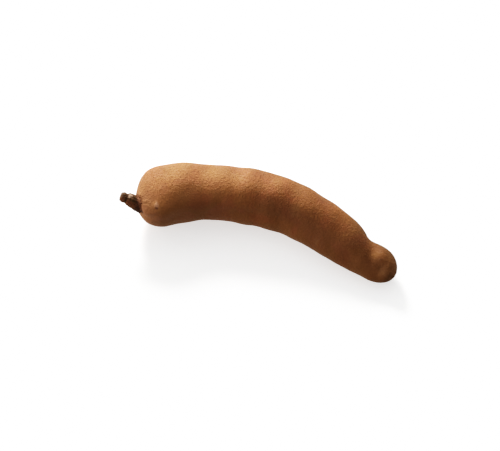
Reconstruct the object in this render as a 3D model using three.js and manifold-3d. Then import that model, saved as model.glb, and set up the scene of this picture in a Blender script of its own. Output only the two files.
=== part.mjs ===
// A whole tamarind pod lying on its side, with the short stub of its woody stalk.
// Units are millimetres, +Z is up and the surface it rests on is z = 0.
// The pod is a curved, blunt-ended fruit: its sections are ellipses set square to a planar guide curve,
// and their centre, width and height change along it. Seeds inside press the shell out in soft bulges.
import * as THREE from 'three';
import Module from 'manifold-3d';
import { mergeVertices } from 'three/addons/utils/BufferGeometryUtils.js';

// ---- driving dimensions ----
const LENGTH = 132.8;          // length of the pod along its guide curve's own scale
const LEAD_IN = 1.004;         // extra length at the stalk end
const LEAD_OUT = 0.189;        // extra length at the free end
const GUIDE_START = [-63.7982, -8.2791];
// heading of the guide curve, in degrees from +X
const HEADING_AT = [0, 13, 29, 48, 66, 86, 106, 132.8];
const HEADING = [35, 30.5, 21.5, 9, -3.5, -14.5, -20.5, -22.5];
// sideways offset of each section's centre from the guide curve
const OFFSET_AT = [0, 3, 7, 12, 18, 26, 36, 50, 64, 78, 90, 99, 105, 109, 113, 117, 121, 126, 132.8];
const OFFSET = [-6.88, -5.28, -3.52, -2.55, -1.69, -1, -0.51, -0.5, -0.01, 0.41, -0.09, -0.45, -0.52, -0.57, -0.82, -0.28, 0.42, 0.66, 0.23];
// half the width of the pod, before its ends are rounded
const HALF_WIDTH_AT = [0, 3, 6, 10, 14, 19, 26, 33, 40, 47, 54, 61, 68, 75, 82, 89, 95, 100, 104, 107, 110, 112.5, 115, 118, 121.5, 125, 129, 132.8];
const HALF_WIDTH = [14.11, 14.81, 14.94, 14.86, 14.79, 14.53, 14.32, 13.51, 13.1, 13.52, 13.59, 13.24, 13.26, 12.67, 12.46, 12, 11.59, 11.44, 10.91, 10.33, 9.46, 8.69, 8.42, 8.48, 8.44, 8.15, 7.7, 6.93];
const FLATTENING = 0.92;       // height over width of a section
// height of each section's centre
const CENTRE_HEIGHT_AT = [0, 6, 13, 20, 30, 39, 48, 58, 67, 76, 85, 93, 101, 108.5, 114, 119, 124.5, 132.8];
const CENTRE_HEIGHT = [15.125, 14.225, 13.925, 13.668, 13.212, 12.618, 12.937, 12.608, 12.584, 12.025, 11.694, 11.089, 10.651, 9.239, 7.889, 7.921, 7.632, 7.526];
const STALK_END_ROUNDING = 14, STALK_END_POWER = 2.102;
const FREE_END_ROUNDING = 10, FREE_END_POWER = 2.103;
// where the seeds lie along the pod, and how far they lift the shell
const SEED_AT = [7, 23, 39, 54, 67, 82, 96, 110, 125, 140];
const SEED_LIFT = 0.12;
const SEED_LIFT_BELOW = 0.16;
// swellings and hollows of the shell: distance along, angle round, two widths, height, slant (mm per degree)
const SHAPE = [
  [27.2, 143, 19.9, 29, 0.66, -0.117], [39.5, 138, 23.3, 25, 0.66, -0.295], [80.6, 164, 30.6, 18, -0.68, -0.353],
  [102.7, 143, 29.5, 29, -0.66, -0.363], [108.7, 135, 21.3, 27, -0.66, -0.254], [99.1, 140, 13.4, 30, -0.65, -0.3],
  [101.4, 134, 4.2, 42, -0.66, 0.013], [119.6, 92, 2.5, 42, -1.41, 0.082], [123, 116, 5.8, 37, -1.45, 0.094],
  [113.9, 75, 3.2, 47, 1.16, -0.014], [127.2, 90, 4.8, 33, 0.56, -0.227], [127.9, 145, 4.1, 26, -0.66, -0.042],
  [128.3, 118, 2.1, 44, -0.65, 0.008], [15.6, 152, 14.4, 10, 0.66, -0.359], [8.5, 158, 7, 10, 0.64, 0.106],
  [9.9, 98, 6, 44, -0.63, -0.217], [17.2, 139, 7.6, 31, 0.66, -0.069], [20.8, 115, 4.5, 39, 0.65, -0.141],
  [34.3, 78, 2.8, 18, -0.67, -0.074], [39.3, 116, 3.1, 41, 0.62, -0.042], [48.2, 96, 2.5, 37, -0.63, 0.026],
  [50.7, 118, 8.5, 17, 0.67, -0.02], [56.8, 98, 2.6, 38, 0.58, 0.078], [70.6, 98, 6.7, 35, 0.34, -0.276],
  [73.9, 115, 3.2, 45, 0.61, 0.084], [82.2, 81, 4.5, 22, 0.6, 0.097], [88.1, 104, 4, 31, 0.46, -0.097],
  [95.8, 62, 2.3, 19, 0.48, 0.006], [101.4, 93, 4.7, 35, -0.55, 0.09], [59.1, 173, 14.1, 15, -0.68, -0.267],
  [31.5, 150, 16.3, 14, 0.66, -0.417], [89.7, 136, 10.6, 20, -0.57, -0.343],
  [16, 222, 5, 26, 0.32, 0], [60, 222, 5, 26, 0.16, 0], [39, 222, 10, 26, 0.16, 0], [60, 222, 42, 26, 0.18, 0],
  [104, 40, 9, 26, 0.26, 0], [127, 36, 4, 30, 0.30, 0],
];
// seeds along the pod's back edge, and how far they lift the shell there
const BACK_SEED_AT = [3, 21, 40, 59.5, 76.5, 91.5, 107, 124, 141];
const BACK_SEED_LIFT = 0.25;
const SIDES = 44;              // facets round a section
// the stalk stub: points along its axis, and its radius at each distance from its broken end
const STALK_AXIS = [
  [-63.10, -16.72, 23.35], [-61.59, -16.22, 22.63], [-59.61, -15.58, 21.54],
  [-57.85, -15.01, 20.50], [-55.73, -14.32, 19.47], [-53.38, -13.56, 18.39],
];
const STALK_RADIUS = [
  [0.12, 0.85], [0.45, 1.45], [1.0, 1.92], [1.8, 2.15], [2.7, 2.2], [3.4, 2.42], [4.3, 2.68],
  [5.3, 2.95], [6.4, 3.2], [7.5, 3.5], [8.6, 3.85], [9.8, 4.1], [11.2, 4.2],
];
const STALK_SIDES = 20;
const SKIN_GAP = 0.3;          // clearance between the stalk's foot and the pod
const ORIGIN = [0.945, 4.423, -0.005];   // the middle of the whole object's footprint

// ---- smooth tables ----
function table(at, values, x) {
  // cubic through the stations, with finite-difference slopes
  const n = at.length;
  let i = 0;
  while (i < n - 2 && x >= at[i + 1]) i++;
  const h = at[i + 1] - at[i];
  const u = (x - at[i]) / h;
  const slope = (j) => {
    const a = Math.max(j - 1, 0), b = Math.min(j + 1, n - 1);
    return (values[b] - values[a]) / (at[b] - at[a]);
  };
  const u2 = u * u, u3 = u2 * u;
  return (2 * u3 - 3 * u2 + 1) * values[i] + (u3 - 2 * u2 + u) * h * slope(i)
    + (-2 * u3 + 3 * u2) * values[i + 1] + (u3 - u2) * h * slope(i + 1);
}
const linear = (at, values, x) => {
  if (x <= at[0]) return values[0];
  const n = at.length;
  if (x >= at[n - 1]) return values[n - 1];
  let i = 0;
  while (x > at[i + 1]) i++;
  return values[i] + (values[i + 1] - values[i]) * (x - at[i]) / (at[i + 1] - at[i]);
};

// ---- the guide curve, integrated from its heading ----
const STEP = 0.1, LEAD = 4;
const heading = (s) => table(HEADING_AT, HEADING, Math.min(Math.max(s, 0), LENGTH)) * Math.PI / 180;
const guidePoints = [];
{
  let x = GUIDE_START[0], y = GUIDE_START[1];
  let last = heading(-LEAD);
  guidePoints.push([x, y]);
  for (let k = 1; k <= Math.round((LENGTH + 2 * LEAD) / STEP); k++) {
    const now = heading(-LEAD + k * STEP);
    x += 0.5 * STEP * (Math.cos(last) + Math.cos(now));
    y += 0.5 * STEP * (Math.sin(last) + Math.sin(now));
    guidePoints.push([x, y]);
    last = now;
  }
}
function guide(s) {
  const g = s * (LENGTH + LEAD_IN + LEAD_OUT) / LENGTH - LEAD_IN;
  const q = Math.min(Math.max((g + LEAD) / STEP, 0), guidePoints.length - 1.001);
  const i = Math.floor(q), f = q - i;
  const x = guidePoints[i][0] * (1 - f) + guidePoints[i + 1][0] * f;
  const y = guidePoints[i][1] * (1 - f) + guidePoints[i + 1][1] * f;
  return { x, y, angle: heading(g) };
}

// ---- one section of the pod ----
function rounding(s) {
  const p = Math.min(Math.max(s / STALK_END_ROUNDING, 0), 1);
  const q = Math.min(Math.max((LENGTH - s) / FREE_END_ROUNDING, 0), 1);
  return Math.max(1 - (1 - p) ** STALK_END_POWER, 0) ** (1 / STALK_END_POWER)
    * Math.max(1 - (1 - q) ** FREE_END_POWER, 0) ** (1 / FREE_END_POWER);
}
function seedBulge(s) {
  const k = linear(SEED_AT, SEED_AT.map((_, i) => i), s);
  return Math.cos(2 * Math.PI * k) * linear([4, 14, 118, 130], [0, 1, 1, 0], s);
}
function section(s) {
  const g = guide(s);
  const nx = -Math.sin(g.angle), ny = Math.cos(g.angle);
  const round = rounding(s);
  const offset = table(OFFSET_AT, OFFSET, s);
  const half = table(HALF_WIDTH_AT, HALF_WIDTH, s) * round;
  return {
    x: g.x + offset * nx, y: g.y + offset * ny, z: table(CENTRE_HEIGHT_AT, CENTRE_HEIGHT, s),
    nx, ny, half, high: FLATTENING * half + SEED_LIFT * seedBulge(s) * round,
  };
}

// ---- how far the shell stands out from its plain sections ----
const smooth = (x, a, b) => {
  const t = Math.min(Math.max((x - a) / (b - a), 0), 1);
  return t * t * (3 - 2 * t);
};
const bell = (x) => Math.exp(-x * x);
const turn = (degrees) => ((degrees + 540) % 360) - 180;   // wrapped to -180..180
const wave = (at, s) => Math.cos(2 * Math.PI * linear(at, at.map((_, i) => i), s));
function relief(s, degrees, p) {
  const ends = smooth(s, 0, 4) * smooth(LENGTH - s, 0, 5);
  let d = 0;
  for (const [s0, a0, ws, wa, h, slant] of SHAPE) {
    const da = turn(degrees - a0);
    d += ends * h * Math.exp(-0.5 * ((s - s0 - slant * da) / ws) ** 2 - 0.5 * (da / wa) ** 2);
  }
  // seeds on the side it lies on
  const below = Math.exp(-0.5 * ((degrees - 275) / 36) ** 2);
  const window = linear([6, 16, 58, 68, 84, 92, 106, 112], [0, 1, 1, 0.7, 0.6, 0.15, 0.15, 0], s);
  d += SEED_LIFT_BELOW * wave(SEED_AT, s) * below * window;
  // and along its back edge
  d += BACK_SEED_LIFT * wave(BACK_SEED_AT, s) * Math.exp(-0.5 * (turn(degrees - 40) / 26) ** 2)
    * linear([6, 16, 92, 112], [0, 1, 1, 0], s);
  // the skin climbs the upper side of the stalk's foot and draws in round the lower side
  const near = smooth(s, 16, 7);
  if (near > 0) {
    const a = new THREE.Vector3(...STALK_AXIS[3]);
    const t = new THREE.Vector3(...STALK_AXIS[5]).sub(a).normalize();
    const w = p.clone().sub(a);
    const r = w.addScaledVector(t, -w.dot(t)).length();
    const upper = smooth((p.x - STALK_AXIS[4][0]) * 0.40 + (p.z - STALK_AXIS[4][2]) * 0.92, -2, 3);
    d += near * (1.10 * upper * bell(Math.max(r - 3, 0) / 1.8)
      + (1 - upper) * (0.42 * bell((r - 6) / 1.5) - 0.45 * bell((r - 3.2) / 1.3)));
  }
  return d;
}

// ---- stations along the pod, closer at its ends and at the notch ----
const stations = [];
for (let k = 1; k <= 11; k++) stations.push(STALK_END_ROUNDING * (1 - Math.cos(k / 11 * Math.PI / 2)));
for (const [from, to, n] of [[14, 44, 17], [44, 60, 11], [60, 92, 18], [92, 112, 13], [112, 122.8, 9]]) {
  for (let k = 1; k <= n; k++) stations.push(from + (to - from) * k / n);
}
for (let k = 8; k >= 1; k--) stations.push(LENGTH - FREE_END_ROUNDING * (1 - Math.cos(k / 9 * Math.PI / 2)));

function podGeometry(grow) {
  const plain = [];
  for (const s of stations) {
    const c = section(s);
    const ring = [];
    for (let j = 0; j < SIDES; j++) {
      const a = 2 * Math.PI * j / SIDES;
      const u = (c.half + grow) * Math.cos(a), v = (c.high + grow) * Math.sin(a);
      ring.push(new THREE.Vector3(c.x + u * c.nx, c.y + u * c.ny, c.z + v));
    }
    plain.push(ring);
  }
  // push each point out along the plain surface's normal
  const positions = [], index = [], shift = [];
  const last = plain.length - 1;
  plain.forEach((ring, i) => {
    const c = section(stations[i]);
    const centre = new THREE.Vector3(c.x, c.y, c.z);
    const sum = new THREE.Vector3();
    ring.forEach((p, j) => {
      const along = plain[Math.min(i + 1, last)][j].clone().sub(plain[Math.max(i - 1, 0)][j]);
      const round = ring[(j + 1) % SIDES].clone().sub(ring[(j + SIDES - 1) % SIDES]);
      const normal = along.cross(round).normalize();
      if (normal.dot(p.clone().sub(centre)) < 0) normal.negate();
      const q = p.clone().addScaledVector(normal, relief(stations[i], 360 * j / SIDES, p));
      q.z = Math.max(q.z, ORIGIN[2]);
      sum.add(q).sub(p);
      positions.push(q.x, q.y, q.z);
    });
    shift.push(sum.divideScalar(SIDES));
  });
  const rows = stations.length;
  const c0 = section(0), c1 = section(LENGTH);
  const a0 = guide(0).angle, a1 = guide(LENGTH).angle;
  positions.push(c0.x - grow * Math.cos(a0) + shift[0].x, c0.y - grow * Math.sin(a0) + shift[0].y, c0.z + shift[0].z);
  positions.push(c1.x + grow * Math.cos(a1) + shift[last].x, c1.y + grow * Math.sin(a1) + shift[last].y, c1.z + shift[last].z);
  const head = rows * SIDES, tail = head + 1;
  for (let j = 0; j < SIDES; j++) {
    const k = (j + 1) % SIDES;
    index.push(head, k, j);
    for (let i = 0; i < rows - 1; i++) {
      const a = i * SIDES + j, b = i * SIDES + k, c = a + SIDES, d = b + SIDES;
      index.push(a, b, d, a, d, c);
    }
    index.push(tail, (rows - 1) * SIDES + j, (rows - 1) * SIDES + k);
  }
  const geometry = new THREE.BufferGeometry();
  geometry.setAttribute('position', new THREE.Float32BufferAttribute(positions, 3));
  geometry.setIndex(index);
  return geometry;
}

// ---- the stalk stub: a stout, slightly crooked twig that flares to its foot ----
function stalkGeometry() {
  const path = new THREE.CatmullRomCurve3(STALK_AXIS.map((p) => new THREE.Vector3(...p)), false, 'centripetal');
  const total = path.getLength();
  const positions = [], index = [];
  const up = new THREE.Vector3(0, 0, 1);
  for (const [at, r] of STALK_RADIUS) {
    const t = Math.min(at / total, 1);
    const p = path.getPointAt(t), d = path.getTangentAt(t);
    const side = new THREE.Vector3().crossVectors(up, d).normalize();
    const top = new THREE.Vector3().crossVectors(d, side).normalize();
    for (let j = 0; j < STALK_SIDES; j++) {
      const a = 2 * Math.PI * j / STALK_SIDES;
      const rib = 1 + 0.05 * Math.cos(3 * a + 0.6) + 0.03 * Math.cos(5 * a);
      const q = p.clone().addScaledVector(side, r * rib * Math.cos(a)).addScaledVector(top, r * rib * Math.sin(a));
      positions.push(q.x, q.y, q.z);
    }
  }
  const rows = STALK_RADIUS.length;
  const p0 = path.getPointAt(0), p1 = path.getPointAt(Math.min(STALK_RADIUS[rows - 1][0] / total, 1));
  positions.push(p0.x, p0.y, p0.z, p1.x, p1.y, p1.z);
  const head = rows * STALK_SIDES, tail = head + 1;
  for (let j = 0; j < STALK_SIDES; j++) {
    const k = (j + 1) % STALK_SIDES;
    index.push(head, k, j);
    for (let i = 0; i < rows - 1; i++) {
      const a = i * STALK_SIDES + j, b = i * STALK_SIDES + k, c = a + STALK_SIDES, d = b + STALK_SIDES;
      index.push(a, b, d, a, d, c);
    }
    index.push(tail, (rows - 1) * STALK_SIDES + j, (rows - 1) * STALK_SIDES + k);
  }
  const geometry = new THREE.BufferGeometry();
  geometry.setAttribute('position', new THREE.Float32BufferAttribute(positions, 3));
  geometry.setIndex(index);
  return geometry;
}

// ---- solids ----
const wasm = await Module();
wasm.setup();
function signedVolume(geometry) {
  const p = geometry.getAttribute('position'), ix = geometry.getIndex().array;
  const a = new THREE.Vector3(), b = new THREE.Vector3(), c = new THREE.Vector3();
  let v = 0;
  for (let i = 0; i < ix.length; i += 3) {
    a.fromBufferAttribute(p, ix[i]); b.fromBufferAttribute(p, ix[i + 1]); c.fromBufferAttribute(p, ix[i + 2]);
    v += a.dot(b.cross(c)) / 6;
  }
  return v;
}
function facingOut(geometry) {
  if (signedVolume(geometry) < 0) {
    const ix = geometry.getIndex().array;
    for (let i = 0; i < ix.length; i += 3) { const t = ix[i + 1]; ix[i + 1] = ix[i + 2]; ix[i + 2] = t; }
  }
  return geometry;
}
function toSolid(geometry) {
  const g = mergeVertices(geometry, 1e-5);
  return new wasm.Manifold(new wasm.Mesh({
    numProp: 3,
    vertProperties: new Float32Array(g.getAttribute('position').array),
    triVerts: new Uint32Array(g.getIndex().array),
  }));
}
function toGeometry(solid) {
  const m = solid.getMesh();
  const positions = [];
  for (let i = 0; i < m.vertProperties.length / m.numProp; i++) {
    positions.push(m.vertProperties[i * m.numProp], m.vertProperties[i * m.numProp + 1], m.vertProperties[i * m.numProp + 2]);
  }
  const geometry = new THREE.BufferGeometry();
  geometry.setAttribute('position', new THREE.Float32BufferAttribute(positions, 3));
  geometry.setIndex([...m.triVerts]);
  return geometry;
}

const podShape = facingOut(podGeometry(0));
// the stalk's foot follows the pod's skin, a hair's breadth off it
const stalkShape = toGeometry(toSolid(facingOut(stalkGeometry())).subtract(toSolid(facingOut(podGeometry(SKIN_GAP)))));
podShape.computeVertexNormals();
stalkShape.computeVertexNormals();

const pod = new THREE.Mesh(podShape, new THREE.MeshStandardMaterial({ color: 0xa0683c, roughness: 0.85, metalness: 0 }));
pod.name = 'pod';
const stem = new THREE.Mesh(stalkShape, new THREE.MeshStandardMaterial({ color: 0x5b3626, roughness: 0.9, metalness: 0 }));
stem.name = 'stem';

const group = new THREE.Group();
group.add(pod, stem);
group.position.set(-ORIGIN[0], -ORIGIN[1], -ORIGIN[2]);
group.updateMatrixWorld(true);

export default group;
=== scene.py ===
# A whole tamarind pod with its stalk stub, lying on its side on a pale floor.
import bpy
import math
import numpy as np
from mathutils import Matrix, Vector


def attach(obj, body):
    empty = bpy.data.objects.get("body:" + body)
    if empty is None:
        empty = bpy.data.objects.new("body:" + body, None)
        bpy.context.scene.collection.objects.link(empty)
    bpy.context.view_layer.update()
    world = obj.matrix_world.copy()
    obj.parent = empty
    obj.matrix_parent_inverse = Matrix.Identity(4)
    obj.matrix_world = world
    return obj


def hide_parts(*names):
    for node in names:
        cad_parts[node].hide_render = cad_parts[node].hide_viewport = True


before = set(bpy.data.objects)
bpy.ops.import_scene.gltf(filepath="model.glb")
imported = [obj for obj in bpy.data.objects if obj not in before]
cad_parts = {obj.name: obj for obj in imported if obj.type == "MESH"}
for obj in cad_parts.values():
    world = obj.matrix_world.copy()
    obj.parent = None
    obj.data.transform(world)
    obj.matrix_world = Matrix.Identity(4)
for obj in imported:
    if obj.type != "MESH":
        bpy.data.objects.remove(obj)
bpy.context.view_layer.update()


# ---------------------------------------------------------------- shape of the pod, in millimetres
LENGTH = 132.8
LEAD_IN, LEAD_OUT = 1.004, 0.189
GUIDE_START = (-63.7982, -8.2791)
HEADING_AT = np.array([0, 13, 29, 48, 66, 86, 106, 132.8])
HEADING = np.array([35, 30.5, 21.5, 9, -3.5, -14.5, -20.5, -22.5])
OFFSET_AT = np.array([0, 3, 7, 12, 18, 26, 36, 50, 64, 78, 90, 99, 105, 109, 113, 117, 121, 126, 132.8])
OFFSET = np.array([-6.88, -5.28, -3.52, -2.55, -1.69, -1, -0.51, -0.5, -0.01, 0.41, -0.09, -0.45, -0.52, -0.57,
                   -0.82, -0.28, 0.42, 0.66, 0.23])
HALF_WIDTH_AT = np.array([0, 3, 6, 10, 14, 19, 26, 33, 40, 47, 54, 61, 68, 75, 82, 89, 95, 100, 104, 107, 110,
                          112.5, 115, 118, 121.5, 125, 129, 132.8])
HALF_WIDTH_AT[6] = 26
HALF_WIDTH = np.array([14.11, 14.81, 14.94, 14.86, 14.79, 14.53, 14.32, 13.51, 13.1, 13.52, 13.59, 13.24, 13.26,
                       12.67, 12.46, 12, 11.59, 11.44, 10.91, 10.33, 9.46, 8.69, 8.42, 8.48, 8.44, 8.15, 7.7, 6.93])
FLATTENING = 0.92
CENTRE_HEIGHT_AT = np.array([0, 6, 13, 20, 30, 39, 48, 58, 67, 76, 85, 93, 101, 108.5, 114, 119, 124.5, 132.8])
CENTRE_HEIGHT = np.array([15.125, 14.225, 13.925, 13.668, 13.212, 12.618, 12.937, 12.608, 12.584, 12.025, 11.694,
                          11.089, 10.651, 9.239, 7.889, 7.921, 7.632, 7.526])
STALK_END = (14.0, 2.102)
FREE_END = (10.0, 2.103)
SEED_AT = np.array([7, 23, 39, 54, 67, 82, 96, 110, 125, 140])
SEED_LIFT = 0.12
STALK_AXIS = np.array([[-63.10, -16.72, 23.35], [-61.59, -16.22, 22.63], [-59.61, -15.58, 21.54],
                       [-57.85, -15.01, 20.50], [-55.73, -14.32, 19.47], [-53.38, -13.56, 18.39]])
ORIGIN = np.array([0.945, 4.423, -0.005])


def table(at, values, x):
    """Cubic through the stations, with finite-difference slopes."""
    at, values, x = np.asarray(at, float), np.asarray(values, float), np.asarray(x, float)
    n = len(at)
    i = np.clip(np.searchsorted(at, x, side="right") - 1, 0, n - 2)
    lo, hi = np.maximum(np.arange(n) - 1, 0), np.minimum(np.arange(n) + 1, n - 1)
    slope = (values[hi] - values[lo]) / (at[hi] - at[lo])
    h = at[i + 1] - at[i]
    u = (x - at[i]) / h
    return ((2 * u**3 - 3 * u**2 + 1) * values[i] + (u**3 - 2 * u**2 + u) * h * slope[i]
            + (-2 * u**3 + 3 * u**2) * values[i + 1] + (u**3 - u**2) * h * slope[i + 1])


_step = 0.1
_gs = np.arange(0, int(round((LENGTH + 8) / _step)) + 1) * _step - 4


def heading(s):
    return np.radians(table(HEADING_AT, HEADING, np.clip(s, 0, LENGTH)))


_h = heading(_gs)
_gx = GUIDE_START[0] + np.concatenate([[0], np.cumsum(0.5 * (np.cos(_h[1:]) + np.cos(_h[:-1])))]) * _step
_gy = GUIDE_START[1] + np.concatenate([[0], np.cumsum(0.5 * (np.sin(_h[1:]) + np.sin(_h[:-1])))]) * _step


def rounding(s):
    p = np.clip(s / STALK_END[0], 0, 1)
    q = np.clip((LENGTH - s) / FREE_END[0], 0, 1)
    return (np.maximum(1 - (1 - p) ** STALK_END[1], 0) ** (1 / STALK_END[1])
            * np.maximum(1 - (1 - q) ** FREE_END[1], 0) ** (1 / FREE_END[1]))


def seed_phase(s):
    return np.interp(s, SEED_AT, np.arange(len(SEED_AT)))


def seed_bulge(s):
    return np.cos(2 * np.pi * seed_phase(s)) * np.interp(s, [4, 14, 118, 130], [0, 1, 1, 0])


def sections(s):
    g = s * (LENGTH + LEAD_IN + LEAD_OUT) / LENGTH - LEAD_IN
    a = heading(g)
    n = np.stack([-np.sin(a), np.cos(a)], -1)
    off = table(OFFSET_AT, OFFSET, s)
    r = rounding(s)
    half = table(HALF_WIDTH_AT, HALF_WIDTH, s) * r
    high = FLATTENING * half + SEED_LIFT * seed_bulge(s) * r
    c = np.stack([np.interp(g, _gs, _gx) + off * n[:, 0], np.interp(g, _gs, _gy) + off * n[:, 1],
                  table(CENTRE_HEIGHT_AT, CENTRE_HEIGHT, s)], -1) - ORIGIN
    return c, n, half, high


# ---------------------------------------------------------------- seeded gradient noise
_rng = np.random.RandomState(7)
_grad = _rng.normal(size=(256, 3))
_grad /= np.linalg.norm(_grad, axis=1)[:, None]
_perm = _rng.permutation(256)
_perm = np.concatenate([_perm, _perm])


def noise(p, seed=0):
    p = np.asarray(p, float) + seed * 17.37
    i = np.floor(p).astype(int)
    f = p - i
    w = f * f * f * (f * (f * 6 - 15) + 10)
    out = np.zeros(p.shape[:-1])
    for dx in (0, 1):
        for dy in (0, 1):
            for dz in (0, 1):
                h = _perm[(_perm[(_perm[(i[..., 0] + dx) & 255] + i[..., 1] + dy) & 255] + i[..., 2] + dz) & 255]
                g = _grad[h]
                d = (g * (f - (dx, dy, dz))).sum(-1)
                k = ((w[..., 0] if dx else 1 - w[..., 0]) * (w[..., 1] if dy else 1 - w[..., 1])
                     * (w[..., 2] if dz else 1 - w[..., 2]))
                out += k * d
    return out * 1.6


def fbm(p, octaves, seed=0, gain=0.5):
    total, amp, norm = 0.0, 1.0, 0.0
    for k in range(octaves):
        total = total + amp * noise(np.asarray(p) * 2**k, seed + 3 * k)
        norm += amp
        amp *= gain
    return total / norm


def smooth(x, a, b):
    t = np.clip((x - a) / (b - a), 0, 1)
    return t * t * (3 - 2 * t)


# ---------------------------------------------------------------- grids to meshes
def grid_normals(p):
    """Normals of a ringed grid whose columns close on themselves."""
    du = np.gradient(p, axis=0)
    dv = np.roll(p, -1, 1) - np.roll(p, 1, 1)
    n = np.cross(dv, du)
    l = np.linalg.norm(n, axis=2, keepdims=True)
    return n / np.maximum(l, 1e-12)


def mesh_from_grid(name, grid, head, tail, fields, uv_rows):
    """A closed mesh: rings of points, with one point closing each end. fields are per-ring-point numbers."""
    rows, cols = grid.shape[:2]
    verts = np.concatenate([grid.reshape(-1, 3), [head], [tail]]) / 1000
    quads = []
    r = np.arange(rows - 1)[:, None] * cols
    j = np.arange(cols)[None]
    k = (j + 1) % cols
    quads = np.stack([r + j, r + k, r + cols + k, r + cols + j], -1).reshape(-1, 4)
    h, t = rows * cols, rows * cols + 1
    jj = np.arange(cols)
    kk = (jj + 1) % cols
    caps0 = np.stack([np.full(cols, h), kk, jj], -1)
    caps1 = np.stack([np.full(cols, t), (rows - 1) * cols + jj, (rows - 1) * cols + kk], -1)
    # which way is out
    v = verts
    q = quads
    vol = 0.0
    for tri in (q[:, [0, 1, 2]], q[:, [0, 2, 3]], caps0, caps1):
        vol += (v[tri[:, 0]] * np.cross(v[tri[:, 1]], v[tri[:, 2]])).sum()
    flip = vol < 0
    faces, uvs = [], []
    a = np.arange(cols) / cols
    b = (np.arange(cols) + 1) / cols
    u0, u1 = uv_rows[:-1], uv_rows[1:]
    uu = np.stack([np.repeat(u0[:, None], cols, 1), np.repeat(u0[:, None], cols, 1),
                   np.repeat(u1[:, None], cols, 1), np.repeat(u1[:, None], cols, 1)], -1)
    vv = np.stack([np.repeat(a[None], rows - 1, 0), np.repeat(b[None], rows - 1, 0),
                   np.repeat(b[None], rows - 1, 0), np.repeat(a[None], rows - 1, 0)], -1)
    quv = np.stack([uu, vv], -1).reshape(-1, 4, 2)
    c0uv = np.stack([np.stack([np.zeros(cols), (a + b) / 2], -1), np.stack([np.full(cols, uv_rows[0]), b], -1),
                     np.stack([np.full(cols, uv_rows[0]), a], -1)], 1)
    c1uv = np.stack([np.stack([np.ones(cols), (a + b) / 2], -1), np.stack([np.full(cols, uv_rows[-1]), a], -1),
                     np.stack([np.full(cols, uv_rows[-1]), b], -1)], 1)
    if flip:
        quads, quv = quads[:, ::-1], quv[:, ::-1]
        caps0, c0uv = caps0[:, ::-1], c0uv[:, ::-1]
        caps1, c1uv = caps1[:, ::-1], c1uv[:, ::-1]
    me = bpy.data.meshes.new(name)
    nq, nt = len(quads), 2 * cols
    me.vertices.add(len(verts))
    me.vertices.foreach_set("co", verts.astype(np.float32).ravel())
    loops = np.concatenate([quads.ravel(), caps0.ravel(), caps1.ravel()])
    me.loops.add(len(loops))
    me.loops.foreach_set("vertex_index", loops.astype(np.int32))
    me.polygons.add(nq + nt)
    starts = np.concatenate([np.arange(nq) * 4, nq * 4 + np.arange(nt) * 3])
    me.polygons.foreach_set("loop_start", starts.astype(np.int32))
    me.polygons.foreach_set("use_smooth", np.ones(nq + nt, dtype=bool))
    me.update(calc_edges=True)
    uvl = me.uv_layers.new(name="OFBake")
    uv = np.concatenate([quv.reshape(-1, 2), c0uv.reshape(-1, 2), c1uv.reshape(-1, 2)])
    uvl.data.foreach_set("uv", (0.004 + 0.992 * uv).astype(np.float32).ravel())
    for key, values in fields.items():
        att = me.attributes.new(key, "FLOAT", "POINT")
        f = values.reshape(-1)
        f = np.concatenate([f, [values[0].mean()], [values[-1].mean()]])
        att.data.foreach_set("value", f.astype(np.float32))
    me.validate()
    ob = bpy.data.objects.new(name, me)
    bpy.context.scene.collection.objects.link(ob)
    return ob


# ---------------------------------------------------------------- the stalk's path
_axis = STALK_AXIS - ORIGIN
_seg = np.concatenate([[0], np.cumsum(np.linalg.norm(np.diff(_axis, axis=0), axis=1))])


def stalk_point(d):
    """A point at distance d from the broken end, and the direction inward."""
    d = np.asarray(d, float)
    p = np.stack([table(_seg, _axis[:, k], np.clip(d, -0.2, _seg[-1])) for k in range(3)], -1)
    q = np.stack([table(_seg, _axis[:, k], np.clip(d + 0.05, -0.15, _seg[-1] + 0.05)) for k in range(3)], -1)
    t = q - p
    t /= np.linalg.norm(t, axis=-1, keepdims=True)
    return p, t


def stalk_distance(p):
    """Distance from the stalk's axis line, for points near its foot."""
    a = _axis[3]
    t = _axis[5] - _axis[3]
    t = t / np.linalg.norm(t)
    d = p - a
    along = (d * t).sum(-1)
    return np.linalg.norm(d - along[..., None] * t, axis=-1), along


# ---------------------------------------------------------------- the pod
NUB = np.array([-47.11, -18.07, 21.42])
NUB_ACROSS, NUB_UP = np.array([0.935, 0.355, 0.0]), np.array([-0.264, 0.695, 0.669])
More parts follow.
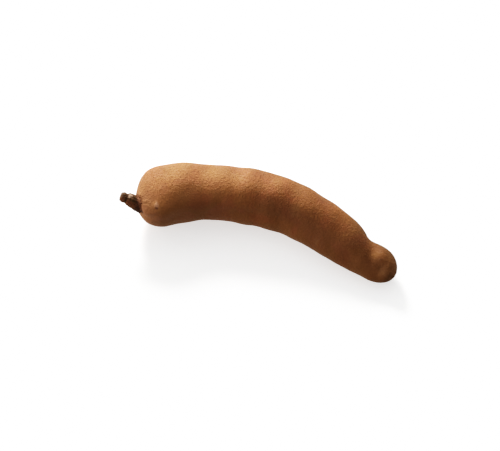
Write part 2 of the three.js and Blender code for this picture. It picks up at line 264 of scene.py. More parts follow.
# swellings and hollows of the shell: distance along, angle round, two widths, height, slant
SHAPE = [(27.2, 143, 19.9, 29, 0.66, -0.117), (39.5, 138, 23.3, 25, 0.66, -0.295),
         (80.6, 164, 30.6, 18, -0.68, -0.353), (102.7, 143, 29.5, 29, -0.66, -0.363),
         (108.7, 135, 21.3, 27, -0.66, -0.254), (99.1, 140, 13.4, 30, -0.65, -0.3),
         (101.4, 134, 4.2, 42, -0.66, 0.013), (119.6, 92, 2.5, 42, -1.41, 0.082),
         (123, 116, 5.8, 37, -1.45, 0.094), (113.9, 75, 3.2, 47, 1.16, -0.014), (127.2, 90, 4.8, 33, 0.56, -0.227),
         (127.9, 145, 4.1, 26, -0.66, -0.042), (128.3, 118, 2.1, 44, -0.65, 0.008),
         (15.6, 152, 14.4, 10, 0.66, -0.359), (8.5, 158, 7, 10, 0.64, 0.106), (9.9, 98, 6, 44, -0.63, -0.217),
         (17.2, 139, 7.6, 31, 0.66, -0.069), (20.8, 115, 4.5, 39, 0.65, -0.141),
         (34.3, 78, 2.8, 18, -0.67, -0.074), (39.3, 116, 3.1, 41, 0.62, -0.042), (48.2, 96, 2.5, 37, -0.63, 0.026),
         (50.7, 118, 8.5, 17, 0.67, -0.02), (56.8, 98, 2.6, 38, 0.58, 0.078), (70.6, 98, 6.7, 35, 0.34, -0.276),
         (73.9, 115, 3.2, 45, 0.61, 0.084), (82.2, 81, 4.5, 22, 0.6, 0.097), (88.1, 104, 4, 31, 0.46, -0.097),
         (95.8, 62, 2.3, 19, 0.48, 0.006), (101.4, 93, 4.7, 35, -0.55, 0.09), (59.1, 173, 14.1, 15, -0.68, -0.267),
         (31.5, 150, 16.3, 14, 0.66, -0.417), (89.7, 136, 10.6, 20, -0.57, -0.343),
         (16, 222, 5, 26, 0.32, 0), (60, 222, 5, 26, 0.16, 0), (39, 222, 10, 26, 0.16, 0), (60, 222, 42, 26, 0.18, 0),
         (104, 40, 9, 26, 0.26, 0), (127, 36, 4, 30, 0.30, 0)]
BACK_SEED_AT = np.array([3, 21, 40, 59.5, 76.5, 91.5, 107, 124, 141])


def pod_grid():
    rows, cols = 372, 236
    # stations close together at both ends, even along the body
    k0 = 34
    cap0 = STALK_END[0] * (1 - np.cos(np.arange(1, k0 + 1) / k0 * np.pi / 2))
    k1 = 28
    cap1 = LENGTH - FREE_END[0] * (1 - np.cos(np.arange(k1, 0, -1) / k1 * np.pi / 2))
    mid = np.linspace(STALK_END[0], LENGTH - FREE_END[0], rows - k0 - k1 + 2)[1:-1]
    s = np.concatenate([cap0, mid, cap1])
    phi = 2 * np.pi * (np.arange(cols) + 0.5) / cols - np.pi / 2   # the seam runs along the underside
    c, n, half, high = sections(s)
    cs, sn = np.cos(phi)[None], np.sin(phi)[None]
    p = np.empty((len(s), cols, 3))
    p[..., 0] = c[:, :1] + half[:, None] * cs * n[:, :1]
    p[..., 1] = c[:, 1:2] + half[:, None] * cs * n[:, 1:2]
    p[..., 2] = c[:, 2:3] + high[:, None] * sn
    ce, _, _, _ = sections(np.array([0.0, LENGTH]))
    return s, phi, p, ce[0], ce[1]


def build_pod():
    s, phi, p, head, tail = pod_grid()
    nrm = grid_normals(p)
    centre = p.mean(1, keepdims=True)
    if ((p - centre) * nrm).sum() < 0:
        nrm = -nrm
    S = np.repeat(s[:, None], p.shape[1], 1)
    up = np.clip(np.sin(phi), -1, 1)[None] * np.ones_like(S)
    d = np.zeros(S.shape)
    # slow unevenness of the shell
    d += 0.08 * noise(p / 19.0, 1) + 0.06 * noise(p / 9.0, 2)
    d += 0.045 * fbm(p / 4.2, 2, 5)
    # the shell is fuller on the near side by the stalk and flatter there towards the free end
    A = np.degrees(np.repeat(phi[None], len(s), 0)) % 360
    ends = smooth(S, 0.0, 4.0) * smooth(LENGTH - S, 0.0, 5.0)
    for s0, a0, ws, wa, h, k in SHAPE:
        da = (A - a0 + 180) % 360 - 180
        d += ends * h * np.exp(-0.5 * ((S - s0 - k * da) / ws) ** 2 - 0.5 * (da / wa) ** 2)
    # each seed swells the shell on both broad sides, a little off the middle line
    wander = 1.1 * noise(p / 15.0, 9)
    bul = np.cos(2 * np.pi * np.interp(S + wander, SEED_AT, np.arange(len(SEED_AT))))
    broad = np.exp(-0.5 * ((A - 275) / 36) ** 2)
    window = np.interp(S, [6, 16, 58, 68, 84, 92, 106, 112], [0, 1, 1, 0.7, 0.6, 0.15, 0.15, 0])
    d += 0.16 * bul * broad * window
    back = np.cos(2 * np.pi * np.interp(S, BACK_SEED_AT, np.arange(len(BACK_SEED_AT))))
    back_side = np.exp(-0.5 * (((A - 40 + 180) % 360 - 180) / 26) ** 2)
    d += 0.25 * back * back_side * np.interp(S, [6, 16, 92, 112], [0, 1, 1, 0])
    # a faint crease slanting down the near side
    run = smooth(S, 80.5, 83.5) * smooth(S, 98.0, 94.5)
    off = (A - 130 + 0.8 * (S - 81.5)) * 0.21
    crease = run * np.exp(-((off / 0.55) ** 2))
    d += -0.10 * crease + 0.05 * run * np.exp(-(((off - 1.3) / 0.9) ** 2))
    # fine scurfy grain
    g1 = noise(p / (1.9, 1.25, 1.25) + 0.6 * noise(p / 2.6, 21)[..., None], 22)
    g2 = noise(p / 0.9, 23)
    grain = 1 - np.minimum(np.abs(g1) * 2.6, 1)
    d += 0.050 * (grain - 0.5) + 0.015 * g2
    # the skin draws in round the stalk and swells just beyond it
    r, along = stalk_distance(p)
    near = smooth(S, 16, 7)
    side = smooth((p - _axis[4]) @ np.array([0.40, 0.0, 0.92]), -2.0, 3.0)
    d += near * (1.10 * side * np.exp(-((np.maximum(r - 3.0, 0) / 1.8) ** 2))
                 + (1 - side) * (0.24 * np.exp(-(((r - 6.0) / 1.9) ** 2)) - 0.45 * np.exp(-(((r - 3.2) / 1.3) ** 2))))
    pleat = np.exp(-(((r - 4.6) / 2.0) ** 2)) * near
    ang = np.arctan2(p[..., 2] - (_axis[4][2]), p[..., 1] - _axis[4][1])
    d += 0.10 * pleat * np.sin(9 * ang + 2.0 * noise(p / 3.0, 31))
    # a small wart on the near side, with a pinch under it
    w = p - NUB
    wide = 1.00 - 0.50 * np.clip((w @ NUB_UP) / 1.0, -1, 1)
    rn = np.sqrt(((w @ NUB_ACROSS) / wide) ** 2 + ((w @ NUB_UP) / np.where(w @ NUB_UP > 0, 1.75, 1.15)) ** 2
                 + ((w @ np.cross(NUB_ACROSS, NUB_UP)) / 1.3) ** 2)
    under = np.linalg.norm(p - (NUB - 1.2 * NUB_UP + 0.1 * NUB_ACROSS), axis=-1)
    d += 0.66 * np.exp(-(rn**2.4)) - 0.36 * np.exp(-((under / 0.6) ** 2))
    # the dry point left by the flower at the free end
    rt = np.linalg.norm(p - tail, axis=-1)
    d += 0.26 * np.exp(-((rt / 0.75) ** 2)) - 0.10 * np.exp(-(((rt - 1.9) / 0.9) ** 2))
    q = p + nrm * d[..., None]
    q[..., 2] = np.maximum(q[..., 2], 0.0)
    head2 = head + (q[0].mean(0) - p[0].mean(0))
    tail2 = q[-1].mean(0) + (tail - p[-1].mean(0))
    mids = np.concatenate([[0], np.cumsum(np.linalg.norm(np.diff(p, axis=0), axis=2).mean(1))])
    first = np.linalg.norm(p[0] - head, axis=1).mean()
    last = np.linalg.norm(p[-1] - tail, axis=1).mean()
    uv_rows = (first + mids) / (first + mids[-1] + last)
    # the scurf is thick on the back and the upper side and thin low on the near side
    scurfy = np.interp(A, [0, 30, 105, 130, 160, 225, 290, 360], [0.8, 1.0, 1.0, 0.65, 0.4, 0.4, 0.75, 0.8])
    calm = scurfy * np.interp(S, [0, 60, 78, 100], [1.0, 1.0, 0.85, 0.60])
    fields = {
        "along": S / LENGTH,
        "cap": smooth(S + 1.5 * noise(p / 4.0, 61), 11, 2),
        "seed": bul * window,
        # painted shade in the crease round the stalk's foot
        "foot": near * (1 - 0.85 * side) * np.exp(-((np.maximum(r - 3.2, 0) / 0.9) ** 2)),
        # pale scurf and painted highlight along the top by the stalk
        "bloom_and_painted_highlight": np.exp(-0.5 * ((A - 95) / 22) ** 2) * np.interp(S, [3, 9, 42, 58, 80], [0, 1, 1, 0.5, 0.1])
        * (0.85 + 0.4 * noise(p / 7.0, 71)),
        # wear and painted highlight on the lobe's crown
        "lobe_wear_and_painted_highlight": np.exp(-0.5 * ((S - 121.6) / 1.9) ** 2 - 0.5 * ((A - 82) / 15) ** 2),
        # painted shade in a band low on the near side
        "painted_shade_low_band": np.exp(-0.5 * ((A - 140) / np.interp(S, [80, 95, 115, 124], [20, 25, 25, 30])) ** 2) * np.interp(S, [56, 68, 100, 116, 124, 132], [0, 1, 1, 0.6, 0.9, 0.9]),
        "scurfy": calm,
        # painted shade on the far side, against the light from behind
        "painted_shade_far_side": np.interp(A, [0, 20, 45, 215, 260, 360], [1.0, 0.8, 0.0, 0.0, 0.6, 1.0]),
        # painted shade in the hollows between the seeds
        "painted_furrow_shade": sum(w * np.exp(-0.5 * ((S - at) / 3.7) ** 2) for at, w in
                      ((13.5, 0.7), (29.0, 0.8), (45.0, 1.0), (58.0, 1.1), (88.0, 1.0))) * np.exp(-0.5 * ((A - 66) / 15) ** 2),
        # painted shade where the scurf is thin, low on the near side
        "painted_shade_thin_scurf": (1 - scurfy) / 0.6 * np.interp(S, [0, 3, 92, 108], [0.7, 1.0, 1.0, 0.0]),
        "crease": crease,
        "wart": np.exp(-((rn / 1.15) ** 2)),
        # painted shadow under the wart
        "pinch": np.exp(-((under / 0.80) ** 2)),
        "point": np.exp(-((rt / 1.1) ** 2)),
    }
    return mesh_from_grid("tamarind_shell", q, head2, tail2, fields, uv_rows)


# ---------------------------------------------------------------- the stalk stub
STALK_RADIUS = np.array([[0.0, 0.0], [0.1, 1.1], [0.45, 1.72], [1.0, 2.02], [1.8, 2.15], [2.7, 2.2], [3.4, 2.42],
                         [4.3, 2.68], [5.3, 2.95], [6.4, 3.2], [7.5, 3.5], [8.6, 3.85], [9.8, 4.1], [11.2, 4.2]])


def build_stalk():
    rows, cols = 210, 128
    d = np.concatenate([0.04 + 1.0 * (1 - np.cos(np.arange(1, 41) / 40 * np.pi / 2)),
                        np.linspace(1.04, 11.2, rows - 40 + 1)[1:]])
    r0 = table(STALK_RADIUS[:, 0], STALK_RADIUS[:, 1], d)
    r0[:40] = np.clip(1 - (1 - d[:40] / 1.04) ** 3.0, 0, 1) ** 0.5 * table(STALK_RADIUS[:, 0], STALK_RADIUS[:, 1], np.array([1.04]))[0]
    c, t = stalk_point(d)
    up = np.array([0.0, 0.0, 1.0])
    side = np.cross(up, t)
    side /= np.linalg.norm(side, axis=1)[:, None]
    top = np.cross(t, side)
    a = 2 * np.pi * (np.arange(cols) + 0.5) / cols
    A = np.repeat(a[None], len(d), 0)
    D = np.repeat(d[:, None], cols, 1)
    ring = np.cos(A)[..., None] * side[:, None] + np.sin(A)[..., None] * top[:, None]
    q0 = c[:, None] + r0[:, None, None] * ring
    # ribs that run along the stalk and wander as they go
    tw = 0.5 * noise(np.stack([D / 3.5, np.zeros_like(D), np.zeros_like(D)], -1), 40)
    ribs = (0.10 * np.cos(3 * A + 0.6 + tw) + 0.075 * np.cos(5 * A + 1.9 - 1.3 * tw)
            + 0.05 * np.cos(8 * A + 4.0 * tw) + 0.03 * np.cos(13 * A + 2.2 + 5 * tw))
    fray = fbm(q0 / np.array([1.5, 1.1, 1.1]), 3, 44)
    fine = noise(q0 / 0.33, 49)
    m = 1 + ribs * np.interp(D, [0, 0.6, 4, 9, 11], [0.25, 0.5, 0.7, 0.55, 0.3])
    m = m + (0.085 + 0.06 * np.clip(1 - D / 2.5, 0, 1)) * fray + 0.022 * fine
    # swollen broken end, a waist behind it, and a rough step where the flower's parts fell
    m = m + 0.07 * np.exp(-(((D - 1.5) / 0.8) ** 2)) - 0.07 * np.exp(-(((D - 2.95) / 0.40) ** 2))
    m = m + 0.06 * np.exp(-(((D - 4.0) / 0.5) ** 2)) * (1 + np.cos(A - 1.9)) / 1.2
    # the skin climbs over the foot on its upper side
    facing = np.clip(0.35 + 0.65 * np.sin(A), 0, 1)
    m = m - 0.26 * facing * smooth(D, 5.0, 8.0)
    r = r0[:, None] * m
    q = c[:, None] + r[..., None] * ring
    # the broken face is uneven
    lump = (0.42 * fbm(q0 / 0.9, 2, 52) - 0.30 * np.clip(1 - r / 1.5, 0, 1)) * np.clip(1 - D / 1.4, 0, 1)
    q = q + lump[..., None] * (-t[:, None])
    head = c[0] - t[0] * 0.05 + (q[0].mean(0) - c[0]) * 0.5
    tail = c[-1]
    mids = np.concatenate([[0], np.cumsum(np.linalg.norm(np.diff(q, axis=0), axis=2).mean(1))])
    uv_rows = (0.1 + mids) / (0.1 + mids[-1] + 4.0)
    scar_c = c[np.argmin(abs(d - 4.1))]
    view = np.array([0.2376, -0.6255, 0.7431])
    tq = t[np.argmin(abs(d - 4.1))]
    out = view - tq * (view @ tq)
    out = out / np.linalg.norm(out)
    upw = np.cross(tq, out)
    if upw[2] < 0:
        upw = -upw
    scar_p = scar_c + 2.4 * (0.78 * out + 0.62 * upw)
    w = q - scar_p
    rs = np.sqrt((w**2).sum(-1) - 0.55 * (w @ upw) ** 2)
    fields = {
        "along": D / 11.2,
        "groove": -ribs * 4 - 0.8 * fray,
        "scar": np.exp(-((rs / 1.2) ** 2)),
        "end": np.clip(1 - D / 2.6, 0, 1),
        "waist": np.exp(-(((D - 2.9) / 0.5) ** 2)),
        "foot": smooth(D, 6.4, 9.0),
        "upper": facing,
        "skin": smooth(D + 2.6 * np.sin(A + 0.15) + 0.7 * fray, 9.2, 10.8),
    }
    return mesh_from_grid("stalk_stub", q, head, tail, fields, uv_rows)


# ---------------------------------------------------------------- materials
class Tree:
    def __init__(self, name):
        self.m = bpy.data.materials.new(name)
        self.m.use_nodes = True
        self.t = self.m.node_tree
        self.t.nodes.clear()
        self.out = self.t.nodes.new("ShaderNodeOutputMaterial")
        self.bsdf = self.t.nodes.new("ShaderNodeBsdfPrincipled")
        self.link(self.bsdf.outputs[0], self.out.inputs["Surface"])
        self.obj = self.t.nodes.new("ShaderNodeTexCoord").outputs["Object"]

    def link(self, a, b):
        self.t.links.new(a, b)

    def put(self, value, socket):
        if hasattr(value, "is_output"):
            self.link(value, socket)
        else:
            socket.default_value = value

    def mapped(self, scale, offset=(0, 0, 0)):
        n = self.t.nodes.new("ShaderNodeMapping")
        self.link(self.obj, n.inputs["Vector"])
        n.inputs["Scale"].default_value = scale if hasattr(scale, "__len__") else (scale,) * 3
        n.inputs["Location"].default_value = offset
        return n.outputs[0]

    def noise(self, mm, detail=2.0, rough=0.5, distort=0.0, offset=(0, 0, 0), stretch=(1, 1, 1)):
        """Noise whose features are about mm millimetres across."""
        n = self.t.nodes.new("ShaderNodeTexNoise")
        k = 1000.0 / mm
        self.link(self.mapped((k * stretch[0], k * stretch[1], k * stretch[2]), offset), n.inputs["Vector"])
        n.inputs["Scale"].default_value = 1.0
        n.inputs["Detail"].default_value = detail
        n.inputs["Roughness"].default_value = rough
        n.inputs["Distortion"].default_value = distort
        return n.outputs[0]

    def voronoi(self, mm, feature="F1", out="Distance", random=1.0, offset=(0, 0, 0)):
        n = self.t.nodes.new("ShaderNodeTexVoronoi")
        n.feature = feature
        self.link(self.mapped(1000.0 / mm, offset), n.inputs["Vector"])
        n.inputs["Scale"].default_value = 1.0
        n.inputs["Randomness"].default_value = random
        return n.outputs[out]

    def math(self, op, a, b=0.0, c=None, clamp=False):
        n = self.t.nodes.new("ShaderNodeMath")
        n.operation = op
        n.use_clamp = clamp
        self.put(a, n.inputs[0])
        self.put(b, n.inputs[1])
        if c is not None:
            self.put(c, n.inputs[2])
        return n.outputs[0]

    def remap(self, x, a, b, lo=0.0, hi=1.0, smoothly=True):
        n = self.t.nodes.new("ShaderNodeMapRange")
        n.interpolation_type = "SMOOTHSTEP" if smoothly else "LINEAR"
        self.put(x, n.inputs["Value"])
        n.inputs["From Min"].default_value = a
        n.inputs["From Max"].default_value = b
        n.inputs["To Min"].default_value = lo
        n.inputs["To Max"].default_value = hi
        return n.outputs["Result"]

    def mix(self, fac, a, b, blend="MIX"):
        n = self.t.nodes.new("ShaderNodeMix")
        n.data_type = "RGBA"
        n.blend_type = blend
        n.clamp_factor = True
        self.put(fac, n.inputs[0])
        for v, k in ((a, 6), (b, 7)):
            if hasattr(v, "is_output"):
                self.link(v, n.inputs[k])
            else:
                n.inputs[k].default_value = (*v, 1.0)
        return n.outputs[2]

    def attr(self, name):
        n = self.t.nodes.new("ShaderNodeAttribute")
        n.attribute_name = name
        return n.outputs["Fac"]

    def bump(self, height, distance_mm, strength=1.0, normal=None):
        n = self.t.nodes.new("ShaderNodeBump")
        n.inputs["Strength"].default_value = strength
        n.inputs["Distance"].default_value = distance_mm / 1000
        self.link(height, n.inputs["Height"])
        if normal is not None:
            self.link(normal, n.inputs["Normal"])
        return n.outputs[0]


def skin_material():
    m = Tree("tamarind_skin")
    along, seed = m.attr("along"), m.attr("seed")
    big = m.noise(26, 2.0, 0.5, 0.2)
    mid = m.noise(7.5, 3.0, 0.55, 0.4, (3, 1, 2))
    patch = m.noise(3.2, 2.0, 0.5, 0.8, (5, 5, 1))
    fine = m.noise(0.55, 2.0, 0.6, 0.3, (9, 2, 4))
    # short uneven flecks: thin ridges of one noise, broken up by a finer one
    grain_n = m.noise(1.40, 2.0, 0.55, 0.5, (1, 7, 3), (0.75, 1.0, 1.0))
    squiggle = m.remap(m.math("ABSOLUTE", m.math("SUBTRACT", grain_n, 0.5)), 0.0, 0.12, 1.0, 0.0)
    gap = m.noise(1.05, 1.0, 0.5, 0.0, (2, 5, 8))
    squiggle = m.math("MULTIPLY", squiggle, m.remap(gap, 0.38, 0.60, 0.35, 1.10))
    # ground colour: tan near the stalk, deeper and redder towards the free end
    red = m.math("ADD", m.math("MULTIPLY", along, 0.95), m.math("MULTIPLY", m.math("SUBTRACT", big, 0.5), 0.7))
    red = m.math("ADD", red, m.math("MULTIPLY", m.math("SUBTRACT", mid, 0.5), 0.5))
    red = m.math("SUBTRACT", red, m.math("MULTIPLY", seed, 0.03))
    ground = m.mix(m.remap(red, -0.1, 0.5, smoothly=False), (0.493, 0.213, 0.0855), (0.329, 0.1215, 0.0365))
    ground = m.mix(m.remap(red, 0.45, 1.0, smoothly=False), ground, (0.177, 0.0692, 0.0171))
    # slow drift between olive and pinkish tan
    hue = m.noise(11, 2.0, 0.5, 0.6, (8, 1, 6))
    hue = m.math("SUBTRACT", hue, m.remap(along, 0.84, 0.96, 0.0, 0.22))
    ground = m.mix(m.remap(hue, 0.38, 0.66, 0.0, 1.0), m.mix(1.0, ground, (0.975, 0.99, 0.93), "MULTIPLY"),
                   m.mix(1.0, ground, (1.04, 0.955, 1.04), "MULTIPLY"))
    # darker skin shows between the scurf, which is a pale dry tan
    dark = m.mix(1.0, ground, (0.72, 0.66, 0.60), "MULTIPLY")
    pale = m.mix(0.38, ground, (0.60, 0.333, 0.146))
    scurf = m.math("MULTIPLY", squiggle, m.remap(patch, 0.25, 0.70, 0.5, 1.0))
    calm = m.attr("scurfy")
    col = m.mix(m.math("MULTIPLY", m.remap(fine, 0.3, 0.7, 0.0, 0.34), calm), ground, dark)
    col = m.mix(m.math("MULTIPLY", m.math("MULTIPLY", scurf, 0.46), calm), col, pale)
    col = m.mix(m.remap(along, 0.94, 0.99, 0.0, 0.08), col, (0.42, 0.20, 0.08))
    # a pale dry bloom along the back, strongest by the stalk: partly pale scurf and partly a painted highlight where
    # the light falls on it
    col = m.mix(m.math("MULTIPLY", m.attr("bloom_and_painted_highlight"), 0.15), col, (0.62, 0.30, 0.129))
    # the lobe's crown is a golden tan: partly wear and partly a painted highlight where the light catches it
    col = m.mix(m.math("MULTIPLY", m.attr("lobe_wear_and_painted_highlight"), 0.15), col, (0.44, 0.225, 0.062))
    # painted shade: darker where the scurf is thin, low on the near side, and duller in a band low on the near side
    col = m.mix(m.attr("painted_shade_thin_scurf"), col, m.mix(1.0, col, (0.75, 0.76, 0.70), "MULTIPLY"))
    col = m.mix(m.math("MULTIPLY", m.attr("painted_shade_low_band"), 1.0), col, m.mix(1.0, col, (0.85, 0.87, 0.97), "MULTIPLY"))
    # painted shade: the far side is made darker to offset the light that falls on it from behind
    col = m.mix(m.attr("painted_shade_far_side"), col, m.mix(1.0, col, (0.80, 0.78, 0.78), "MULTIPLY"))
    # painted shade in the hollows between the seeds, on the upper side
    col = m.mix(m.attr("painted_furrow_shade"), col, m.mix(1.0, col, (0.84, 0.84, 0.86), "MULTIPLY"))
    # worn, paler crowns and small dark specks
    crown = m.remap(m.math("ADD", m.math("MULTIPLY", seed, 0.08), mid), 0.52, 0.85, 0.0, 0.18)
    col = m.mix(crown, col, (0.46, 0.255, 0.118))
    spot = m.voronoi(3.1, offset=(2, 3, 8))
    few = m.remap(m.noise(9, 1.0, 0.5, 0, (7, 7, 7)), 0.56, 0.68)
    speck = m.math("MULTIPLY", m.remap(spot, 0.05, 0.13, 1.0, 0.0), few)
    col = m.mix(m.math("MULTIPLY", speck, 0.3), col, (0.10, 0.045, 0.024))
    col = m.mix(m.math("MULTIPLY", m.attr("crease"), 0.22), col, (0.15, 0.055, 0.022))
    # by the stalk: pinkish skin, and painted shade in the crease round the stalk; painted shadow under the wart; the
    # wart and the dry point
    col = m.mix(m.math("MULTIPLY", m.attr("cap"), 0.50), col, (0.425, 0.200, 0.098))
    # painted shade in the crease where the skin meets the stalk
    foot = m.attr("foot")
    col = m.mix(m.math("MULTIPLY", foot, 0.6), col, (0.20, 0.082, 0.040))
    col = m.mix(m.remap(foot, 0.80, 1.0, 0.0, 0.6), col, (0.17, 0.065, 0.032))
    # painted shadow under the wart
    col = m.mix(m.remap(m.attr("pinch"), 0.25, 0.90, 0.0, 0.75), col, (0.115, 0.045, 0.025))
    col = m.mix(m.remap(m.attr("wart"), 0.33, 0.78, 0.0, 0.85), col, (0.54, 0.275, 0.155))
    col = m.mix(m.remap(m.attr("point"), 0.3, 0.9, 0.0, 0.12), col, (0.13, 0.07, 0.045))
    m.link(col, m.bsdf.inputs["Base Color"])
    rough = m.math("ADD", m.remap(scurf, 0, 1, 0.66, 0.86, False), m.remap(mid, 0.3, 0.7, -0.05, 0.05, False))
    m.link(rough, m.bsdf.inputs["Roughness"])
    m.bsdf.inputs["Specular IOR Level"].default_value = 0.25
    m.bsdf.inputs["Sheen Weight"].default_value = 0.03
    m.bsdf.inputs["Sheen Roughness"].default_value = 0.5
    m.bsdf.inputs["Sheen Tint"].default_value = (0.95, 0.80, 0.64, 1.0)
    height = m.math("ADD", m.math("MULTIPLY", squiggle, 0.7), m.math("MULTIPLY", fine, 0.4))
    height = m.math("ADD", height, m.math("MULTIPLY", speck, -0.3))
    height = m.math("MULTIPLY", height, calm)
    m.link(m.bump(height, 0.30, 1.0), m.bsdf.inputs["Normal"])
    return m.m


def stalk_material():
    m = Tree("stalk_bark")
    groove, end, scar = m.attr("groove"), m.attr("end"), m.attr("scar")
    mid = m.noise(2.2, 3.0, 0.6, 0.6, (1, 2, 3))
    fine = m.noise(0.6, 3.0, 0.6, 0.2, (4, 5, 6), (0.5, 1.5, 1.5))
    tone = m.remap(m.math("ADD", mid, m.math("MULTIPLY", groove, -0.16)), 0.32, 0.72)
    col = m.mix(tone, (0.262, 0.098, 0.038), (0.190, 0.090, 0.031))
    # darker on the upper side: partly its own weathered colour and partly painted shade that tones down the light on
    # its top
    col = m.mix(m.remap(m.attr("upper"), 0.55, 1.0, 0.0, 0.78), col, (0.080, 0.040, 0.0115))
    col = m.mix(m.remap(fine, 0.52, 0.72, 0.0, 0.6), col, (0.19, 0.102, 0.040))
    col = m.mix(m.remap(fine, 0.46, 0.30, 0.0, 0.7), col, (0.050, 0.020, 0.010))
    col = m.mix(m.math("MULTIPLY", m.remap(end, 0.1, 0.8), m.remap(mid, 0.35, 0.6, 0.2, 0.6)), col, (0.165, 0.098, 0.060))
    col = m.mix(m.math("MULTIPLY", m.attr("waist"), 0.6), col, (0.075, 0.032, 0.016))
    col = m.mix(m.remap(scar, 0.3, 0.75, 0.0, 0.9), col, (0.52, 0.34, 0.235))
    # painted shade in the crease where the stalk sinks into the skin
    col = m.mix(m.math("MULTIPLY", m.attr("foot"), 0.88), col, (0.068, 0.024, 0.009))
    col = m.mix(m.math("MULTIPLY", m.attr("skin"), 0.6), col, (0.40, 0.175, 0.085))
    m.link(col, m.bsdf.inputs["Base Color"])
    m.link(m.remap(mid, 0.3, 0.7, 0.72, 0.92, False), m.bsdf.inputs["Roughness"])
    m.bsdf.inputs["Specular IOR Level"].default_value = 0.3
    h = m.math("ADD", m.math("MULTIPLY", fine, 0.8), m.math("MULTIPLY", mid, 0.5))
    m.link(m.bump(h, 0.16, 0.9), m.bsdf.inputs["Normal"])
    return m.m


def floor_material():
    m = Tree("pale_floor")
    n = m.noise(60, 2.0, 0.5)
    m.link(m.mix(m.remap(n, 0.3, 0.7, 0.0, 1.0), (0.80, 0.80, 0.795), (0.82, 0.82, 0.815)), m.bsdf.inputs["Base Color"])
    m.bsdf.inputs["Roughness"].default_value = 0.9
    m.bsdf.inputs["Specular IOR Level"].default_value = 0.2
    m.bsdf.inputs["Emission Color"].default_value = (1.0, 1.0, 1.0, 1.0)
    m.bsdf.inputs["Emission Strength"].default_value = 0.35
    return m.m


# ---------------------------------------------------------------- pieces
shell = build_pod()
shell.data.materials.append(skin_material())
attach(shell, "root")
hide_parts("pod")

stalk = build_stalk()
stalk.data.materials.append(stalk_material())
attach(stalk, "root")
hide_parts("stem")

# ---------------------------------------------------------------- floor, light and camera
fm = bpy.data.meshes.new("floor")
R = 6.0
fm.from_pydata([(-R, -R, 0), (R, -R, 0), (R, R, 0), (-R, R, 0)], [], [(0, 1, 2, 3)])
floor = bpy.data.objects.new("floor", fm)
bpy.context.scene.collection.objects.link(floor)
floor.data.materials.append(floor_material())
floor.visible_diffuse = False
floor.visible_glossy = False

EYE = Vector((0.123219, -0.346886, 0.415304))
RIGHT = Vector((0.93482568, 0.35510696, 0.0))
UP = Vector((-0.2638959, 0.69471086, 0.66913061))
BACK = Vector((0.23761294, -0.62552047, 0.74314483))
cam = bpy.data.cameras.new("camera")
cam.lens = 85.0
cam.sensor_width = 36.0
cam.sensor_fit = "HORIZONTAL"
cam.clip_start, cam.clip_end = 0.01, 50.0
camera = bpy.data.objects.new("camera", cam)
camera.matrix_world = Matrix(((RIGHT.x, UP.x, BACK.x, EYE.x), (RIGHT.y, UP.y, BACK.y, EYE.y),
                              (RIGHT.z, UP.z, BACK.z, EYE.z), (0, 0, 0, 1)))
bpy.context.scene.collection.objects.link(camera)
bpy.context.scene.camera = camera

MIDDLE = Vector((0.0, 0.0, 0.012))
AMBIENT_UP, AMBIENT_DOWN, AMBIENT_LEFT, AMBIENT_BEHIND = 0.330, 0.345, 0.155, 0.240
AWAY = Vector((-BACK.x, -BACK.y, 0)).normalized()


def area(name, left, away, up, distance, size, watts, colour=(1, 1, 1)):
    d = (-RIGHT * left + AWAY * away + Vector((0, 0, 1)) * up).normalized()
    light = bpy.data.lights.new(name, "AREA")
    light.shape = "DISK"
    light.size = size
    light.energy = watts
    light.color = colour
    ob = bpy.data.objects.new(name, light)
    ob.location = MIDDLE + d * distance
    ob.rotation_euler = d.to_track_quat("Z", "Y").to_euler()
    ob.visible_camera = False
    bpy.context.scene.collection.objects.link(ob)
    return ob


KEY_AZ, KEY_UP = math.radians(15), math.radians(31)
area("key", math.sin(KEY_AZ) * math.cos(KEY_UP), math.cos(KEY_AZ) * math.cos(KEY_UP), math.sin(KEY_UP),
     0.40, 0.17, 0.632 * math.pi**2 * 0.40**2)

area("side", 0.96, -0.12, 0.22, 0.8, 0.3, 0.155 * math.pi**2 * 0.8**2)
area("rim", -0.97, -0.05, 0.08, 0.8, 0.4, 0.095 * math.pi**2 * 0.8**2)

world = bpy.data.worlds.new("studio")
world.use_nodes = True
wt = world.node_tree
bg = wt.nodes["Background"]
way = wt.nodes.new("ShaderNodeTexCoord").outputs["Generated"]


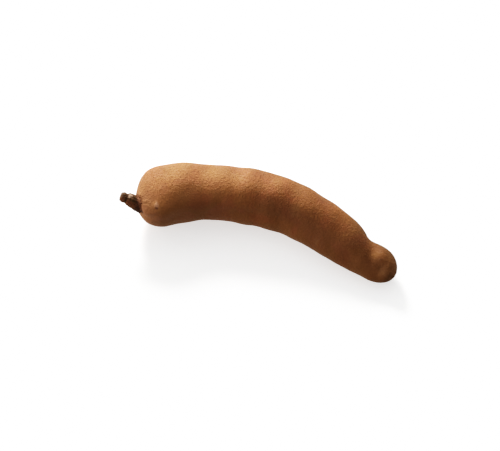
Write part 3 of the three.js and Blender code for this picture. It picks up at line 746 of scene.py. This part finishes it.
def world_math(op, a, b):
    n = wt.nodes.new("ShaderNodeMath")
    n.operation = op
    for v, socket in ((a, n.inputs[0]), (b, n.inputs[1])):
        if hasattr(v, "is_output"):
            wt.links.new(v, socket)
        else:
            socket.default_value = v
    return n.outputs[0]


def world_dot(v):
    n = wt.nodes.new("ShaderNodeVectorMath")
    n.operation = "DOT_PRODUCT"
    wt.links.new(way, n.inputs[0])
    n.inputs[1].default_value = v
    return n.outputs["Value"]


above = world_math("GREATER_THAN", world_dot((0, 0, 1)), 0.0)
glow = world_math("ADD", world_math("MULTIPLY", above, AMBIENT_UP - AMBIENT_DOWN), AMBIENT_DOWN)
glow = world_math("ADD", glow, world_math("MULTIPLY", world_dot(-RIGHT), AMBIENT_LEFT))
glow = world_math("ADD", glow, world_math("MULTIPLY", world_dot(AWAY), AMBIENT_BEHIND))
glow = world_math("MAXIMUM", glow, 0.01)
bg.inputs["Color"].default_value = (1.0, 1.0, 1.0, 1.0)
wt.links.new(glow, bg.inputs["Strength"])
bpy.context.scene.world = world

# the picture's tone: a gentle S over the display range
TONE = [(0, 0), (0.05, 0.020), (0.10, 0.055), (0.16, 0.110), (0.24, 0.195), (0.32, 0.300), (0.40, 0.405),
        (0.50, 0.540), (0.60, 0.655), (0.70, 0.755), (0.80, 0.825), (0.90, 0.885), (1.0, 0.945), (1.12, 1.0)]
GAIN = 0.6


def linear(v):
    return v / 12.92 if v <= 0.04045 else ((v + 0.055) / 1.055) ** 2.4


vs = bpy.context.scene.view_settings
vs.view_transform = "Standard"
vs.look = "None"
vs.exposure = 0.0
vs.gamma = 1.0
vs.use_curve_mapping = True
cm = vs.curve_mapping
cm.use_clip = False
cm.extend = "HORIZONTAL"
points = cm.curves[3].points
tone = [(linear(u) * GAIN, linear(v)) for u, v in TONE]
tone.append((1.0, 1.0))
while len(points) < len(tone):
    points.new(0.5, 0.5)
for pt, (x, y) in zip(points, tone):
    pt.location = (x, y)
    pt.handle_type = "AUTO_CLAMPED"
cm.update()

bpy.context.view_layer.update()
